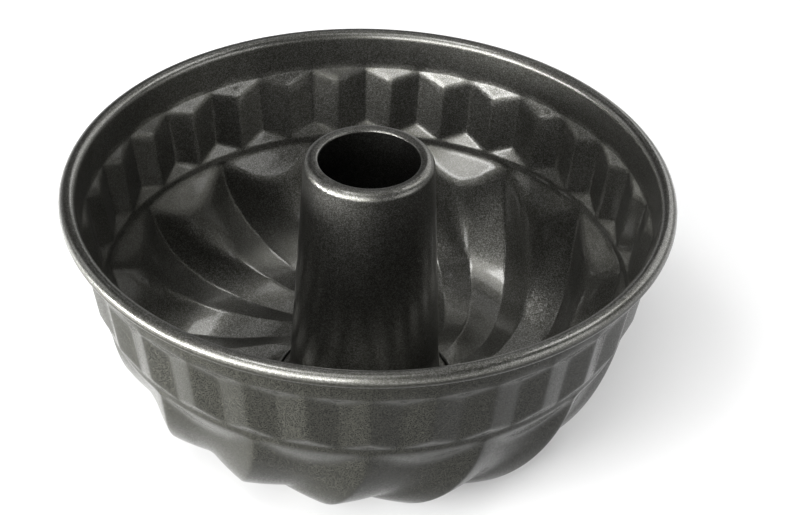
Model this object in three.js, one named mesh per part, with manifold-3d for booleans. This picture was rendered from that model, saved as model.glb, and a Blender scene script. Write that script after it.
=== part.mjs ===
import * as THREE from 'three';
import { mergeVertices } from 'three/addons/utils/BufferGeometryUtils.js';
import Module from 'manifold-3d';

// Kugelhopf mould in coated sheet steel. Millimetres, +Z up.
// The origin is on the axis, in the plane that the lobes stand on.

// Sheet and fits
const sheet = 0.7; // coated steel sheet, used for the shell and the tube
const clearance = 0.3; // gap between pieces that touch

// Rim
const rimDiameter = 230; // over the rolled bead
const rimHeight = 93.7; // standing plane to the middle of the bead
const beadDiameter = 6.3;
const curlMouth = 55; // degrees of the bead left open between the sheet's edge and the collar

// Collar and upright pleats
const collarHeight = 12.2; // middle of the bead to the top of the pleats
const collarTaper = 1.3; // how far the collar leans in over its height
const wallDraft = 9.8; // degrees from upright
const pleatDepth = 2.2;
const pleatHeight = 23.2; // of the outermost crease of a pleat
const topBevelHeight = 4.9;
const bottomBevelHeight = 4.8;
const bandHeight = 3.1; // plain band between the pleats and the lobes

// Swirling lobes
const lobeCount = 15;
const pleatsPerLobe = 2;
const lobeDepth = 5; // at the top of the lobes, less towards the tube as the lobes narrow
const browAngle = 19.6; // degrees between a lobe's crest and the bevel over the ridge beside it
const standRadius = 54.7; // where the lobes stand
const standFlat = 0.2; // depth of the flat that each lobe stands on
const lobeFade = 7; // length over which the lobes run out towards the tube
const swirlTurn = 40; // degrees from the top of a lobe to its foot
const swirlEase = 1.9; // 1 turns evenly, more turns later
const wallFullness = 0.47; // share of the drop over which the lobes keep the wall's draft
const floorFullness = 0.705; // share of the reach over which the floor stays level outside the stand
const hearthFullness = 0.33; // the same inside the stand, towards the tube

// Tube
const tubeHeight = 108.2; // standing plane to the top ring
const tubeTopRadius = 24.6; // over the wall, below the shoulder
const tubeFootRadius = 29.6; // over the wall, above the flare
const tubeHoleRadius = 19.2;
const shoulderRadius = 3;
const lipRadius = 0.9; // where the top ring turns down into the hole
const lipDepth = 2.2;
const flareRadius = 2.6; // at the foot, on the side of the batter

// Lock seam between the tube's foot and the shell's neck
const footLand = 0.8; // flat ring between the flare and the seam
const seamBend = 0.7; // radius of the folds at the middle of the sheet
const seamLift = 0.4; // standing plane to the underside of the seam
const neckDepth = 1.7; // how far the shell's neck turns down from the floor
const hemHeight = 1.9; // of the tube's hem outside the neck

// Facets
const tubeSides = 40;
const wireSides = 8;
const curlSteps = 9;
const wallRows = 8; // from the brow to the stand
const floorRows = 3; // from the stand to the neck
const weldDistance = 1e-3;
const roundOff = 1e-6; // turns, so that a crease at the start of a fold counts as its start

const shellSides = lobeCount * pleatsPerLobe * 2;
const rad = THREE.MathUtils.degToRad;
const point = (r, z) => new THREE.Vector2(r, z);

const beadRadius = beadDiameter / 2;
const beadCentre = point(rimDiameter / 2 - beadRadius, rimHeight);
const curlRadius = beadRadius - sheet / 2;

// Seam sizes, from the tube outwards, along the middle of each sheet
const flareMiddle = flareRadius + sheet / 2;
const footTurnRadius = tubeFootRadius - sheet / 2 + flareMiddle + footLand + seamBend;
const neckRadius = footTurnRadius + sheet + clearance;
const hemRadius = neckRadius + sheet + clearance;
const seamFloor = seamLift + sheet / 2;
const neckEnd = seamFloor + sheet / 2 + clearance;
const seatHeight = neckEnd + neckDepth;

// The side of the sheet that faces the batter lies to the right of its path from the rim to the hole.
// Each normal is lengthened where the path bends, so that the sheet keeps its thickness.
function sheetNormals(path) {
  return path.map((here, i) => {
    const before = path[Math.max(i - 1, 0)];
    const after = path[Math.min(i + 1, path.length - 1)];
    const along = [here.clone().sub(before), after.clone().sub(here)].filter((d) => d.length() > 0);
    const sides = along.map((d) => point(d.y, -d.x).normalize());
    const normal = sides.reduce((sum, side) => sum.clone().add(side)).normalize();
    return normal.divideScalar(normal.dot(sides[0]));
  });
}

// Closed outline of a sheet whose middle follows a path
function sheetOutline(path, normals) {
  const front = path.map((p, i) => p.clone().addScaledVector(normals[i], sheet / 2));
  const back = path.map((p, i) => p.clone().addScaledVector(normals[i], -sheet / 2));
  return [...front, ...back.reverse(), front[0].clone()];
}

// Turns a closed outline about the Z axis and welds its seams
function turned(outline, sides, shape = (vertex) => vertex) {
  const geometry = new THREE.LatheGeometry(outline, sides).rotateX(Math.PI / 2);
  const position = geometry.getAttribute('position');
  const vertex = new THREE.Vector3();
  for (let i = 0; i < position.count; i += 1) {
    vertex.fromBufferAttribute(position, i);
    shape(vertex, i % outline.length);
    position.setXYZ(i, vertex.x, vertex.y, vertex.z);
  }
  return welded(geometry);
}

function welded(geometry) {
  geometry.deleteAttribute('normal');
  geometry.deleteAttribute('uv');
  return mergeVertices(geometry, weldDistance);
}

const wasm = await Module();
wasm.setup();

function solid(geometry) {
  return new wasm.Manifold(new wasm.Mesh({
    numProp: 3,
    vertProperties: new Float32Array(geometry.getAttribute('position').array),
    triVerts: new Uint32Array(geometry.getIndex().array),
  }));
}

function surface(manifold) {
  const mesh = manifold.getMesh();
  const geometry = new THREE.BufferGeometry();
  geometry.setAttribute('position', new THREE.BufferAttribute(mesh.vertProperties, 3));
  geometry.setIndex(new THREE.BufferAttribute(mesh.triVerts, 1));
  return geometry;
}

// 0 on the outermost crease of a fold, 1 on the innermost, straight between
function fold(angle, count) {
  const turn = (angle * count) / (2 * Math.PI);
  const part = turn - Math.floor(turn + roundOff);
  return 1 - Math.abs(2 * part - 1);
}

const plain = () => 0;

// The shell is a list of rows from the curl's edge to the neck's edge: a point on the middle of the
// sheet, how far the folds press it inwards at an angle, and how far the swirl turns it.
function shellRows() {
  const rows = [];
  const add = (r, z, inset = plain, swirl = 0) => rows.push({ middle: point(r, z), inset, swirl });

  for (let i = 0; i < curlSteps; i += 1) {
    const angle = rad(THREE.MathUtils.lerp(curlMouth - 180, 180, i / curlSteps));
    add(beadCentre.x + curlRadius * Math.cos(angle), beadCentre.y + curlRadius * Math.sin(angle));
  }

  const collarRadius = beadCentre.x - curlRadius;
  const pleatTop = rimHeight - collarHeight;
  const pleatRadius = collarRadius - collarTaper;
  const lean = Math.tan(rad(wallDraft));
  const pleat = (angle) => pleatDepth * fold(angle, lobeCount * pleatsPerLobe);
  const wall = (drop, inset) => add(pleatRadius - drop * lean, pleatTop - drop, inset);
  add(collarRadius, rimHeight);
  wall(0, plain);
  wall(topBevelHeight, pleat);
  wall(pleatHeight, pleat);

  const bandTop = pleatHeight + bottomBevelHeight;
  const bandRadius = (drop) => pleatRadius - pleatDepth - drop * lean;
  add(bandRadius(bandTop), pleatTop - bandTop);
  const lobeTop = point(bandRadius(bandTop + bandHeight), pleatTop - bandTop - bandHeight);

  // Crest of a lobe: down the wall, round to the stand, and up to the neck
  const stand = point(standRadius, sheet / 2 - standFlat);
  const hearth = point(neckRadius + seamBend, seatHeight);
  const drop = lobeTop.y - stand.y;
  const reach = lobeTop.x - stand.x;
  const rise = stand.x - hearth.x;
  const wallCurve = new THREE.CubicBezierCurve(
    lobeTop,
    point(lobeTop.x - wallFullness * drop * lean, lobeTop.y - wallFullness * drop),
    point(stand.x + floorFullness * reach, stand.y),
    stand,
  );
  const floorCurve = new THREE.CubicBezierCurve(
    stand,
    point(stand.x - hearthFullness * rise, stand.y),
    point(hearth.x + hearthFullness * rise, hearth.y - hearthFullness * (hearth.y - stand.y)),
    hearth,
  );
  const wallLength = wallCurve.getLength();
  const crestLength = wallLength + floorCurve.getLength();
  const browSlope = Math.tan(rad(browAngle));
  const browLength = lobeDepth / browSlope;

  const lobe = (length, r) => {
    const fade = THREE.MathUtils.clamp((r - hearth.x) / lobeFade, 0, 1);
    const depth = ((lobeDepth * r) / lobeTop.x) * fade;
    return (angle) => Math.min(depth * fold(angle, lobeCount), length * browSlope);
  };
  const swirlAt = (length) => -rad(swirlTurn) * (length / crestLength) ** swirlEase;
  const addLobe = (middle, length) => add(middle.x, middle.y, lobe(length, middle.x), swirlAt(length));

  const wallLengths = [0, browLength / 2];
  for (let i = 0; i <= wallRows; i += 1) {
    wallLengths.push(THREE.MathUtils.lerp(browLength, wallLength, i / wallRows));
  }
  wallLengths.forEach((length) => addLobe(wallCurve.getPointAt(length / wallLength), length));
  for (let i = 1; i <= floorRows; i += 1) {
    const part = i / floorRows;
    addLobe(floorCurve.getPointAt(part), THREE.MathUtils.lerp(wallLength, crestLength, part));
  }

  add(neckRadius, seatHeight - seamBend, plain, swirlAt(crestLength));
  add(neckRadius, neckEnd, plain, swirlAt(crestLength));
  return rows;
}

function flutedShell() {
  const rows = shellRows();
  const path = rows.map((row) => row.middle);
  const normals = sheetNormals(path);
  const pressFolds = (vertex, i) => {
    const last = rows.length - 1;
    const index = i <= last ? i : Math.max(2 * last + 1 - i, 0);
    const { inset, swirl } = rows[index];
    const angle = Math.atan2(vertex.y, vertex.x);
    const inward = normals[index].clone().normalize().multiplyScalar(inset(angle));
    const r = Math.hypot(vertex.x, vertex.y) + inward.x;
    vertex.set(r * Math.cos(angle + swirl), r * Math.sin(angle + swirl), vertex.z + inward.y);
  };
  const pressed = turned(sheetOutline(path, normals), shellSides, pressFolds);

  // The lobes are flattened where they stand
  const depth = rimHeight;
  const below = new THREE.CylinderGeometry(rimDiameter, rimDiameter, depth).rotateX(Math.PI / 2);
  below.translate(0, 0, -depth / 2);
  return surface(solid(pressed).subtract(solid(welded(below))));
}

function centreTube() {
  const lipMiddle = tubeHoleRadius + sheet / 2;
  const topMiddle = tubeHeight - sheet / 2;
  const shoulder = shoulderRadius - sheet / 2;
  const wallTop = tubeTopRadius - sheet / 2;
  const wallFoot = tubeFootRadius - sheet / 2;

  const path = new THREE.Path();
  path.moveTo(hemRadius, seamLift + hemHeight);
  path.lineTo(hemRadius, seamFloor + seamBend);
  path.absarc(hemRadius - seamBend, seamFloor + seamBend, seamBend, 0, -Math.PI / 2, true);
  path.absarc(footTurnRadius + seamBend, seamFloor + seamBend, seamBend, -Math.PI / 2, -Math.PI, true);
  path.absarc(footTurnRadius - seamBend, seatHeight - seamBend, seamBend, 0, Math.PI / 2, false);
  path.absarc(wallFoot + flareMiddle, seatHeight + flareMiddle, flareMiddle, -Math.PI / 2, -Math.PI, true);
  path.lineTo(wallTop, topMiddle - shoulder);
  path.absarc(wallTop - shoulder, topMiddle - shoulder, shoulder, 0, Math.PI / 2, false);
  path.absarc(lipMiddle + lipRadius, topMiddle - lipRadius, lipRadius, Math.PI / 2, Math.PI, false);
  path.lineTo(lipMiddle, topMiddle - lipDepth);

  // Large arcs get more steps than the small folds of the seam
  const steps = (curve) => (curve.isLineCurve ? 1 : 1 + Math.ceil(curve.xRadius));
  const points = path.curves.flatMap((curve) => curve.getPoints(steps(curve)).slice(1));
  points.unshift(path.curves[0].getPoint(0));
  return turned(sheetOutline(points, sheetNormals(points)), tubeSides);
}

function rimWire() {
  const wireRadius = curlRadius - sheet / 2 - clearance;
  const ring = new THREE.TorusGeometry(beadCentre.x, wireRadius, wireSides, shellSides);
  ring.translate(0, 0, beadCentre.y);
  return welded(ring);
}

const coating = { color: 0x3a3a37, roughness: 0.42, metalness: 0.6 };
const steel = { color: 0x9a9a98, roughness: 0.35, metalness: 1 };

function piece(name, geometry, finish) {
  const mesh = new THREE.Mesh(geometry, new THREE.MeshStandardMaterial(finish));
  mesh.name = name;
  return mesh;
}

const mould = new THREE.Group();
mould.name = 'kugelhopf_mould';
mould.add(piece('fluted_shell', flutedShell(), coating));
mould.add(piece('centre_tube', centreTube(), coating));
mould.add(piece('rim_wire', rimWire(), steel));

export default mould;
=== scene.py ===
import math
import bpy
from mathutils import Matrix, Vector, geometry, kdtree


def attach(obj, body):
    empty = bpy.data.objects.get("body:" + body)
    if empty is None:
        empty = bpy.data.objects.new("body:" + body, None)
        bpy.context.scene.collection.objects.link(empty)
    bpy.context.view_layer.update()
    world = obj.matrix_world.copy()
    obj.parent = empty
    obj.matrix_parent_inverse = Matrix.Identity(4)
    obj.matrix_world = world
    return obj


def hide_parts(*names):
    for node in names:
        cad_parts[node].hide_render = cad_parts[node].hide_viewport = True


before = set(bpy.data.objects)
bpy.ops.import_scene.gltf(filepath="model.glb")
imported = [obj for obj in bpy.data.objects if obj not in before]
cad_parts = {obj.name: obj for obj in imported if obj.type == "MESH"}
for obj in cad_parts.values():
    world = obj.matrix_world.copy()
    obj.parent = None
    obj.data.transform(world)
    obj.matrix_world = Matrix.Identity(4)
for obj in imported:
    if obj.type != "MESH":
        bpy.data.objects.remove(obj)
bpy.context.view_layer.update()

print("frame loaded:", ", ".join(sorted(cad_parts)))


# shader maths: a socket that takes part in sums
class Wire:
    def __init__(self, tree, socket=None):
        self.tree = tree
        self.socket = socket

    # any node: its settings first, then the values or links of its sockets
    def node(self, kind, settings=None, inputs=None, output=0):
        made = self.tree.nodes.new(kind)
        for name, value in (settings or {}).items():
            setattr(made, name, value)
        for name, value in (inputs or {}).items():
            if isinstance(value, Wire):
                self.tree.links.new(value.socket, made.inputs[name])
            else:
                made.inputs[name].default_value = value
        return Wire(self.tree, made.outputs[output]) if made.outputs else made

    def sum(self, operation, first, second):
        return self.node("ShaderNodeMath", {"operation": operation}, {0: first, 1: second})

    def __add__(self, other):
        return self.sum("ADD", self, other)

    def __sub__(self, other):
        return self.sum("SUBTRACT", self, other)

    def __mul__(self, other):
        return self.sum("MULTIPLY", self, other)

    def __pow__(self, other):
        return self.sum("POWER", self, other)

    __radd__ = __add__


noiseMiddle = 0.5  # noises and cell colours run from 0 to 1


def newMaterial(name):
    material = bpy.data.materials.new(name)
    material.use_nodes = True
    material.node_tree.nodes.clear()
    return material, Wire(material.node_tree)


def objectCoords(wire):
    return wire.node("ShaderNodeTexCoord", output="Object")


def mixColours(wire, factor, low, high):
    return wire.node("ShaderNodeMix", {"data_type": "RGBA"}, {0: factor, 6: low, 7: high}, output=2)


def noise(wire, place, size, detail):
    return wire.node("ShaderNodeTexNoise", {}, {"Vector": place, "Scale": 1 / size, "Detail": detail})


def between(share, low, high):
    return low + share * (high - low)


# dark non-stick coating: metal flakes under a clear top inside, a dull and darker finish on the outer side;
# the outer finish is also put on the lower side of the bead as painted shade
coating = {
    "dark": (0.067, 0.067, 0.054, 1),
    "light": (0.247, 0.243, 0.235, 1),
    "outerDarkAndBeadShade": (0.0018, 0.0018, 0.0014, 1),
    "outerLightAndBeadShade": (0.0249, 0.0247, 0.02, 1),
    "flakeSize": 0.0003,
    "flakeTilt": 0.12,
    "flakeRarity": 2.0,
    "flakeShare": 0.85,
    "grainSize": 0.0011,
    "grainDetail": 2.0,
    "cloudSize": 0.03,
    "cloudDetail": 3.0,
    "roughness": 0.36,
    "outerRoughness": 0.13,
    "cloudRoughness": 0.1,
    "flakeRoughness": 0.06,
    "metallic": 1.0,
    "outerMetallic": 0.0,
    "outerIor": 1.21,
    "coat": 0.8,
    "outerCoat": 0.0,
    "coatRoughness": 0.1,
    "peelSize": 0.0016,
    "peelDetail": 1.0,
    "peelDepth": 0.00001,
}

# the tube's clear top is thinner and duller
tubeCoating = dict(
    coating,
    dark=(0.066, 0.066, 0.054, 1),
    light=(0.25, 0.246, 0.238, 1),
    coat=0.36,
    coatRoughness=0.17,
)


def coatingMaterial(name, spec):
    material, wire = newMaterial(name)
    place = objectCoords(wire)
    # the mark picks the dull outer finish, and with the same finish paints shade on the lower side of the
    # bead
    outsideAndBeadShade = wire.node("ShaderNodeAttribute", {"attribute_name": "outsideAndBeadShade"}, output="Fac")
    cells = wire.node("ShaderNodeTexVoronoi", {"voronoi_dimensions": "3D"},
                      {"Vector": place, "Scale": 1 / spec["flakeSize"]}, output="Color")
    chance = wire.node("ShaderNodeSeparateColor", {}, {"Color": cells}, output="Red")
    grain = noise(wire, place, spec["grainSize"], spec["grainDetail"])
    cloud = noise(wire, place, spec["cloudSize"], spec["cloudDetail"])
    peel = noise(wire, place, spec["peelSize"], spec["peelDetail"])

    # a few flakes shine, most stay dark
    shine = chance ** spec["flakeRarity"] * spec["flakeShare"] + grain * (1 - spec["flakeShare"])
    inner = mixColours(wire, shine, spec["dark"], spec["light"])
    outerColourAndBeadShade = mixColours(wire, shine, spec["outerDarkAndBeadShade"], spec["outerLightAndBeadShade"])
    colour = mixColours(wire, outsideAndBeadShade, inner, outerColourAndBeadShade)
    roughness = between(outsideAndBeadShade, spec["roughness"], spec["outerRoughness"])
    roughness = roughness + (cloud - noiseMiddle) * spec["cloudRoughness"]
    roughness = roughness + (chance - noiseMiddle) * spec["flakeRoughness"]
    metallic = between(outsideAndBeadShade, spec["metallic"], spec["outerMetallic"])
    coat = between(outsideAndBeadShade, spec["coat"], spec["outerCoat"])

    # flakes lie a little askew
    normal = wire.node("ShaderNodeNewGeometry", output="Normal")
    lean = wire.node("ShaderNodeVectorMath", {"operation": "SUBTRACT"}, {0: cells, 1: (noiseMiddle,) * 3})
    tilted = wire.node("ShaderNodeVectorMath", {"operation": "MULTIPLY_ADD"},
                       {0: lean, 1: (spec["flakeTilt"],) * 3, 2: normal})
    unit = wire.node("ShaderNodeVectorMath", {"operation": "NORMALIZE"}, {0: tilted})
    bumped = wire.node("ShaderNodeBump", {}, {
        "Strength": 1.0, "Distance": spec["peelDepth"], "Height": peel, "Normal": unit})
    shader = wire.node("ShaderNodeBsdfPrincipled", {}, {
        "Base Color": colour, "Roughness": roughness, "Metallic": metallic, "Normal": bumped,
        "IOR": spec["outerIor"], "Coat Weight": coat, "Coat Roughness": spec["coatRoughness"]})
    wire.node("ShaderNodeOutputMaterial", {}, {"Surface": shader})
    return material


# bare drawn wire inside the bead
wireSteel = {
    "colour": (0.42, 0.42, 0.41, 1),
    "dull": (0.25, 0.24, 0.23, 1),
    "lineSize": 1 / 900,
    "lineDetail": 2.0,
    "roughness": 0.32,
    "lineRoughness": 0.2,
}


def wireMaterial():
    spec = wireSteel
    material, wire = newMaterial("drawnSteelWire")
    place = objectCoords(wire)
    lines = noise(wire, place, spec["lineSize"], spec["lineDetail"])
    colour = mixColours(wire, lines, spec["dull"], spec["colour"])
    roughness = spec["roughness"] + (lines - noiseMiddle) * spec["lineRoughness"]
    shader = wire.node("ShaderNodeBsdfPrincipled", {}, {
        "Base Color": colour, "Roughness": roughness, "Metallic": 1.0})
    wire.node("ShaderNodeOutputMaterial", {}, {"Surface": shader})
    return material


# modelling by operators
seedSize = 0.001
weldDistance = 0.000001


def clearSelection():
    if bpy.context.object and bpy.context.object.mode != "OBJECT":
        bpy.ops.object.mode_set(mode="OBJECT")
    bpy.ops.object.select_all(action="DESELECT")


# a line of points in the XZ plane, drawn by extruding one point, then spun about Z
def spinProfile(name, points, columns):
    clearSelection()
    bpy.ops.mesh.primitive_plane_add(size=seedSize, location=(0, 0, 0))
    piece = bpy.context.object
    piece.name = name
    bpy.ops.object.mode_set(mode="EDIT")
    bpy.ops.mesh.select_all(action="SELECT")
    bpy.ops.mesh.merge(type="CENTER")
    last = (0.0, 0.0)
    for step, (r, z) in enumerate(points):
        move = {"value": (r - last[0], 0, z - last[1])}
        if step == 0:
            bpy.ops.transform.translate(**move)
        else:
            bpy.ops.mesh.extrude_region_move(TRANSFORM_OT_translate=move)
        last = (r, z)
    bpy.ops.mesh.select_all(action="SELECT")
    bpy.ops.mesh.spin(steps=columns, angle=2 * math.pi, center=(0, 0, 0), axis=(0, 0, 1))
    bpy.ops.mesh.select_all(action="SELECT")
    bpy.ops.mesh.remove_doubles(threshold=weldDistance)
    bpy.ops.mesh.normals_make_consistent(inside=False)
    bpy.ops.object.mode_set(mode="OBJECT")
    return piece


# sheet metal: the spun middle surface gets its thickness
def thicken(piece, thickness, dullFinishAndBeadShade):
    clearSelection()
    bpy.context.view_layer.objects.active = piece
    piece.select_set(True)
    modifier = piece.modifiers.new("sheet", "SOLIDIFY")
    modifier.thickness = thickness
    modifier.offset = 0
    modifier.use_even_offset = True
    firstSide = len(piece.data.vertices)
    bpy.ops.object.modifier_apply(modifier=modifier.name)
    bpy.ops.object.shade_smooth()

    # the side of the sheet away from the batter is marked for its duller finish; the shell's marking also
    # puts that finish on the lower side of the bead as painted shade
    outsideAndBeadShade = piece.data.attributes.new("outsideAndBeadShade", "FLOAT", "POINT")
    outsideAndBeadShade.data.foreach_set("value", [dullFinishAndBeadShade(v.co, v.index >= firstSide) for v in piece.data.vertices])


def arcPoints(centre, radius, start, end, steps):
    turns = [math.radians(start + (end - start) * i / steps) for i in range(steps + 1)]
    return [(centre[0] + radius * math.cos(a), centre[1] + radius * math.sin(a)) for a in turns]


def smoothMin(a, b, width):
    near = max(width - abs(a - b), 0) / width
    return min(a, b) - near * near * width / 4


def smoothMax(a, b, width):
    return -smoothMin(-a, -b, width)


def smoothStep(part):
    part = min(max(part, 0), 1)
    return part * part * (3 - 2 * part)


# lock seam on the underside, measured on the middle of the sheets; the tube by its faces
sheet = 0.0007
seam = {
    "gap": 0.0003, "bend": 0.0007, "lift": 0.0004, "neckDepth": 0.0017, "hemHeight": 0.0019,
    "footLand": 0.0008, "bendSteps": 5,
}
tube = {
    "height": 0.1082, "topRadius": 0.0246, "footRadius": 0.0296, "holeRadius": 0.0191,
    "shoulder": 0.0035, "lip": 0.0005, "lipDepth": 0.0012, "flare": 0.0026, "dish": 0.0003,
    "columns": 160, "flareSteps": 10, "wallSteps": 12, "shoulderSteps": 12, "lipSteps": 6,
}
flareMiddle = tube["flare"] + sheet / 2
footTurn = tube["footRadius"] - sheet / 2 + flareMiddle + seam["footLand"] + seam["bend"]
neckRadius = footTurn + sheet + seam["gap"]
hemRadius = neckRadius + sheet + seam["gap"]
seamFloor = seam["lift"] + sheet / 2
neckEnd = seamFloor + sheet / 2 + seam["gap"]
seatHeight = neckEnd + seam["neckDepth"]

shell = {
    "rimRadius": 0.115, "rimHeight": 0.0937, "beadRadius": 0.00315, "curlMouth": 55,
    "collarHeight": 0.0122, "collarTaper": 0.0013, "wallDraft": 9.8,
    "pleats": 30, "pleatDepth": 0.0022, "pleatHeight": 0.0232, "topBevel": 0.0045, "bottomBevel": 0.0048,
    "bandHeight": 0.0031,
    "lobes": 15, "lobeDepth": 0.005, "browAngle": 19.6, "lobeFade": 0.007,
    "standRadius": 0.0547, "standFlat": 0.0002, "swirlTurn": 40, "swirlEase": 1.9,
    "wallFullness": 0.47, "floorFullness": 0.705, "hearthFullness": 0.33,
    "pleatRound": 0.12, "lobeRound": 0.08, "browRidgeRound": 1.3, "browShare": 0.85, "ridgeRun": 0.036,
    # the last two values: where the painted shade on the bead's lower side begins, as a turn in degrees
    # about the bead's centre, and over how many degrees it comes in fully
    "bevelRound": 0.0005, "topRound": 0.0011, "browRound": 0.0014, "beadShadeFrom": 32, "beadShadeRun": 38,
    "columns": 420, "crowding": 0.7,
    "beadSteps": 20, "collarSteps": 5, "bevelSteps": 9, "pleatStops": (0.2, 0.4, 0.6, 0.8, 0.95),
    "bandSteps": 5, "wallSteps": 240, "hearthSteps": 80, "browSteps": 13, "lobeSteps": 30,
}


# 0 on the outermost crease, 1 on the innermost, each rounded over a share of the fold
def foldWave(angle, count, outerRound, innerRound):
    part = (angle * count / (2 * math.pi)) % 1
    wave = 1 - abs(2 * part - 1)
    wave = smoothMax(wave, -wave, outerRound)
    return smoothMin(wave, 2 - wave, innerRound) / (1 - innerRound / 4)


def shellRows():
    spec = shell
    rows = []  # radius, height, inset across the folds, direction of the inset, swirl
    inward = Vector((-1, 0))

    def plain(r, z, swirl=0):
        rows.append((r, z, lambda angle: 0, inward, swirl))

    beadCentre = (spec["rimRadius"] - spec["beadRadius"], spec["rimHeight"])
    curl = spec["beadRadius"] - sheet / 2
    for r, z in arcPoints(beadCentre, curl, spec["curlMouth"] - 180, 180, spec["beadSteps"]):
        plain(r, z)

    collarRadius = beadCentre[0] - curl
    pleatTop = spec["rimHeight"] - spec["collarHeight"]
    pleatRadius = collarRadius - spec["collarTaper"]
    lean = math.tan(math.radians(spec["wallDraft"]))
    steps = spec["collarSteps"]
    for i in range(1, steps):
        part = i / steps
        plain(collarRadius - spec["collarTaper"] * part, spec["rimHeight"] - spec["collarHeight"] * part)

    # pleats: the V folds run out in a bevel at the top and at the bottom
    depth = spec["pleatDepth"]
    bandTop = spec["pleatHeight"] + spec["bottomBevel"]
    wallEnd = bandTop + spec["bandHeight"]

    def pleatInset(drop):
        topRamp = smoothMax(0, depth * drop / spec["topBevel"], spec["bevelRound"])
        bottomRamp = depth * (drop - spec["pleatHeight"]) / spec["bottomBevel"]

        def inset(angle):
            fold = depth * foldWave(angle, spec["pleats"], spec["pleatRound"], spec["pleatRound"])
            pressed = smoothMin(fold, topRamp, spec["topRound"])
            pressed = smoothMax(pressed, bottomRamp, spec["bevelRound"])
            return smoothMin(pressed, depth, spec["bevelRound"] / 2)
        return inset

    steps = spec["bevelSteps"]
    drops = [spec["topBevel"] * i / steps for i in range(steps + 2)]
    pleatRun = spec["pleatHeight"] - spec["topBevel"]
    drops += [spec["topBevel"] + pleatRun * stop for stop in spec["pleatStops"]]
    drops += [spec["pleatHeight"] + spec["bottomBevel"] * i / steps for i in range(steps + 1)]
    drops += [bandTop + spec["bandHeight"] * i / spec["bandSteps"] for i in range(1, spec["bandSteps"])]
    for drop in drops:
        rows.append((pleatRadius - drop * lean, pleatTop - drop, pleatInset(drop), inward, 0))

    # lobes: the crest falls down the wall, rounds to the stand and rises to the neck
    lobeTop = Vector((pleatRadius - depth - wallEnd * lean, pleatTop - wallEnd))
    stand = Vector((spec["standRadius"], sheet / 2 - spec["standFlat"]))
    hearth = Vector((neckRadius + seam["bend"], seatHeight))
    fall = lobeTop - stand
    rise = stand - hearth
    wallHandle = lobeTop + Vector((-lean, -1)) * spec["wallFullness"] * fall.y
    floorHandle = stand + Vector((spec["floorFullness"] * fall.x, 0))
    standHandle = stand - Vector((spec["hearthFullness"] * rise.x, 0))
    hearthHandle = hearth + rise * spec["hearthFullness"]
    crest = geometry.interpolate_bezier(lobeTop, wallHandle, floorHandle, stand, spec["wallSteps"])[:-1]
    crest += geometry.interpolate_bezier(stand, standHandle, hearthHandle, hearth, spec["hearthSteps"])
    lengths = [0.0]
    for before, after in zip(crest, crest[1:]):
        lengths.append(lengths[-1] + (after - before).length)
    total = lengths[-1]
    browSlope = math.tan(math.radians(spec["browAngle"]))
    browLength = spec["lobeDepth"] / browSlope

    # the last station may lie past the end by a rounding error
    def crestAt(length):
        length = min(length, total)
        i = next(k for k in range(1, len(crest)) if lengths[k] >= length)
        part = (length - lengths[i - 1]) / (lengths[i] - lengths[i - 1])
        along = (crest[i] - crest[i - 1]).normalized()
        return crest[i - 1].lerp(crest[i], part), Vector((along.y, -along.x))

    def lobeInset(length, r):
        deep = spec["lobeDepth"] * r / lobeTop.x * smoothStep((r - hearth.x) / spec["lobeFade"])
        ramp = smoothMax(0, length * browSlope, spec["bevelRound"])
        sharp = smoothStep((length - browLength) / spec["ridgeRun"])
        innerRound = spec["browRidgeRound"] + (spec["lobeRound"] - spec["browRidgeRound"]) * sharp
        height = deep * (spec["browShare"] + (1 - spec["browShare"]) * sharp)

        def inset(angle):
            if deep <= 0:
                return 0
            fold = height * foldWave(angle, spec["lobes"], spec["lobeRound"], innerRound)
            return smoothMin(fold, ramp, spec["browRound"])
        return inset

    steps = spec["browSteps"]
    stations = [browLength * i / steps for i in range(steps + 1)]
    steps = spec["lobeSteps"]
    stations += [browLength + (total - browLength) * i / steps for i in range(1, steps + 1)]
    for length in stations:
        middle, across = crestAt(length)
        swirl = -math.radians(spec["swirlTurn"]) * (length / total) ** spec["swirlEase"]
        rows.append((middle.x, middle.y, lobeInset(length, middle.x), across, swirl))

    # the floor turns down into the neck
    bend = seam["bend"]
    for r, z in arcPoints((neckRadius + bend, seatHeight - bend), bend, 90, 180, seam["bendSteps"])[1:]:
        plain(r, z, swirl)
    plain(neckRadius, neckEnd, swirl)
    return rows


# the outer side has the dull finish; the bead, from a little above its outermost line downwards, gets the
# same dark dull finish as painted shade on its lower side
def shellOuterFinishAndBeadShade(place, back):
    out = math.hypot(place.x, place.y) - shell["rimRadius"] + shell["beadRadius"]
    if back or out <= 0:
        return float(back)
    turn = math.degrees(math.atan2(place.z - shell["rimHeight"], out))
    return smoothStep((shell["beadShadeFrom"] - turn) / shell["beadShadeRun"])


def flutedShell():
    spec = shell
    rows = shellRows()
    piece = spinProfile("fluted_shell_sheet", [(row[0], row[1]) for row in rows], spec["columns"])
    finder = kdtree.KDTree(len(rows))
    for i, row in enumerate(rows):
        finder.insert((row[0], 0, row[1]), i)
    finder.balance()

    # columns crowd towards the creases, then the folds are pressed and swirled
    unit = math.pi / spec["pleats"]
    for vertex in piece.data.vertices:
        x, y, z = vertex.co
        r = math.hypot(x, y)
        rowNumber = finder.find((r, 0, z))[1]
        inset, across, swirl = rows[rowNumber][2:]
        turn = math.atan2(y, x) / unit
        cell = math.floor(turn)
        part = turn - cell
        part -= spec["crowding"] * math.sin(2 * math.pi * part) / (2 * math.pi)
        angle = (cell + part) * unit
        push = inset(angle)
        r += across.x * push
        angle += swirl
        vertex.co = (r * math.cos(angle), r * math.sin(angle), z + across.y * push)
    thicken(piece, sheet, shellOuterFinishAndBeadShade)
    for vertex in piece.data.vertices:
        vertex.co.z = max(vertex.co.z, 0)  # flat where the lobes stand
    return piece


# the tube keeps the inside's finish all over
def tubeDullness(place, back):
    return 0.0


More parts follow.
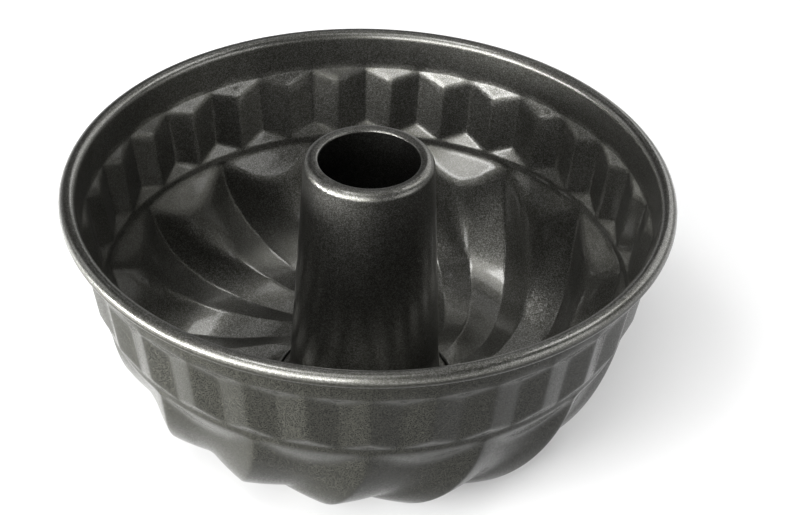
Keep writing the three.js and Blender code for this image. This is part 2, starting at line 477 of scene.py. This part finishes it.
def centreTube():
    spec = tube
    lipMiddle = spec["holeRadius"] + sheet / 2
    top = spec["height"] - sheet / 2
    shoulder = spec["shoulder"] - sheet / 2
    wallTop = spec["topRadius"] - sheet / 2
    wallFoot = spec["footRadius"] - sheet / 2
    footTop = seatHeight + flareMiddle
    bend = seam["bend"]
    steps = seam["bendSteps"]
    path = [(hemRadius, seam["lift"] + seam["hemHeight"])]
    path += arcPoints((hemRadius - bend, seamFloor + bend), bend, 0, -90, steps)
    path += arcPoints((footTurn + bend, seamFloor + bend), bend, -90, -180, steps)
    path += arcPoints((footTurn - bend, seatHeight - bend), bend, 0, 90, steps)
    path += arcPoints((wallFoot + flareMiddle, footTop), flareMiddle, -90, -180, spec["flareSteps"])
    for i in range(1, spec["wallSteps"]):
        part = i / spec["wallSteps"]
        path.append((wallFoot + (wallTop - wallFoot) * part, footTop + (top - shoulder - footTop) * part))
    path += arcPoints((wallTop - shoulder, top - shoulder), shoulder, 0, 90, spec["shoulderSteps"])
    lipCentre = (lipMiddle + spec["lip"], top - spec["dish"] - spec["lip"])
    path += arcPoints(lipCentre, spec["lip"], 90, 180, spec["lipSteps"])
    path.append((lipMiddle, top - spec["lipDepth"]))
    piece = spinProfile("centre_tube_sheet", path, spec["columns"])
    thicken(piece, sheet, tubeDullness)
    return piece


for maker, node, spec in ((flutedShell, "fluted_shell", coating), (centreTube, "centre_tube", tubeCoating)):
    piece = maker()
    piece.data.materials.clear()
    piece.data.materials.append(coatingMaterial(node + "_coating", spec))
    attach(piece, "root")
    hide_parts(node)
    print(node, "modelled:", len(piece.data.polygons), "faces")

wireFinish = wireMaterial()
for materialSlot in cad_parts["rim_wire"].material_slots:
    materialSlot.material = wireFinish
print("rim wire finished")


# pale studio: a floor in light surroundings under a darker ceiling, and soft lamps
studio = {
    "floorSize": 8.0, "floorColour": (0.9, 0.9, 0.9, 1),
    "horizon": 0.6, "horizonTop": 0.06, "ceiling": 0.03, "ceilingFrom": 0.4, "plainLight": 0.26,
    "lampDistance": 1.6,
}

# lamps by their place round the mould, in degrees, metres and radiance
lamps = {
    "key": {"azimuth": 231, "elevation": 11, "width": 1.65, "height": 0.62, "radiance": 10.6},
    "upper": {"azimuth": 231, "elevation": 31, "width": 1.65, "height": 0.62, "radiance": 4.75},
    "overhead": {"azimuth": 236, "elevation": 70, "width": 1.0, "height": 1.0, "radiance": 1.7},
    "top": {"azimuth": 205, "elevation": 66, "width": 0.35, "height": 0.35, "radiance": 10.5},
    "fill": {"azimuth": 326, "elevation": 15, "width": 1.1, "height": 0.8, "radiance": 1.76},
    "back": {"azimuth": 42, "elevation": 30, "width": 1.4, "height": 0.65, "radiance": 2.0},
    "right": {"azimuth": 8, "elevation": 52, "width": 0.6, "height": 0.6, "radiance": 4.4},
    "left": {"azimuth": 150, "elevation": 30, "width": 0.65, "height": 0.65, "radiance": 1.4},
    "far": {"azimuth": 82, "elevation": 60, "width": 1.0, "height": 1.0, "radiance": 0.6},
    "low": {"azimuth": 192, "elevation": 2.5, "width": 0.9, "height": 0.13, "radiance": 64.0,
            "distance": 1.2},
    "strip": {"azimuth": 181, "elevation": -1, "width": 0.9, "height": 0.05, "radiance": 850.0,
              "distance": 1.2, "gloss": False},
}


# 1 for rays that show the surroundings themselves, 0 for the light that falls on matt surfaces
def directRays(wire):
    seen = wire.node("ShaderNodeLightPath", output="Is Camera Ray")
    glossy = wire.node("ShaderNodeLightPath", output="Is Glossy Ray")
    clear = wire.node("ShaderNodeLightPath", output="Is Transmission Ray")
    return wire.sum("MINIMUM", seen + glossy + clear, 1.0)


def studioFloor():
    clearSelection()
    bpy.ops.mesh.primitive_plane_add(size=studio["floorSize"], location=(0, 0, 0))
    floor = bpy.context.object
    floor.name = "studio_floor"
    material, wire = newMaterial("paleFloor")
    matt = wire.node("ShaderNodeBsdfDiffuse", {}, {"Color": studio["floorColour"]})
    wire.node("ShaderNodeOutputMaterial", {}, {"Surface": matt})
    floor.data.materials.append(material)


def studioSurround():
    world = bpy.data.worlds.new("studioSurround")
    world.use_nodes = True
    world.node_tree.nodes.clear()
    bpy.context.scene.world = world
    wire = Wire(world.node_tree)
    way = wire.node("ShaderNodeTexCoord", output="Generated")
    height = wire.node("ShaderNodeSeparateXYZ", {}, {"Vector": way}, output="Z")
    shown = wire.node("ShaderNodeMapRange", {"interpolation_type": "SMOOTHSTEP"}, {
        "Value": height, "From Min": studio["horizonTop"], "From Max": studio["ceilingFrom"],
        "To Min": studio["horizon"], "To Max": studio["ceiling"]})
    strength = (shown - studio["plainLight"]) * directRays(wire) + studio["plainLight"]
    light = wire.node("ShaderNodeBackground", {}, {"Color": (1, 1, 1, 1), "Strength": strength})
    wire.node("ShaderNodeOutputWorld", {}, {"Surface": light})


# a lamp without gloss lights matt surfaces only and leaves no streak on the glossy inside
def softbox(name, azimuth, elevation, width, height, radiance, distance=studio["lampDistance"], gloss=True):
    lamp = bpy.data.lights.new(name, "AREA")
    lamp.shape = "RECTANGLE"
    lamp.size = width
    lamp.size_y = height
    lamp.energy = radiance * math.pi * width * height
    holder = bpy.data.objects.new(name, lamp)
    holder.visible_glossy = gloss
    bpy.context.scene.collection.objects.link(holder)
    across = math.radians(azimuth)
    up = math.radians(elevation)
    away = Vector((math.cos(across) * math.cos(up), math.sin(across) * math.cos(up), math.sin(up)))
    aim = Vector((0, 0, shell["rimHeight"] / 2))
    holder.location = aim + away * distance
    holder.rotation_euler = away.to_track_quat("Z", "Y").to_euler()


camera = {
    "place": (-0.09185, -0.71453, 0.58917), "turn": (53.8409, -1.588, -7.1625),
    "lens": 105.35, "sensor": 36, "near": 0.01,
}


def photoCamera():
    lens = bpy.data.cameras.new("photoCamera")
    lens.lens = camera["lens"]
    lens.sensor_width = camera["sensor"]
    lens.sensor_fit = "HORIZONTAL"
    lens.clip_start = camera["near"]
    holder = bpy.data.objects.new("photoCamera", lens)
    holder.location = camera["place"]
    holder.rotation_euler = [math.radians(a) for a in camera["turn"]]
    bpy.context.scene.collection.objects.link(holder)
    bpy.context.scene.camera = holder


studioFloor()
studioSurround()
for lampName, lampSpec in lamps.items():
    softbox(lampName + "Softbox", **lampSpec)
photoCamera()
bpy.context.scene.view_settings.view_transform = "Standard"
print("studio set")
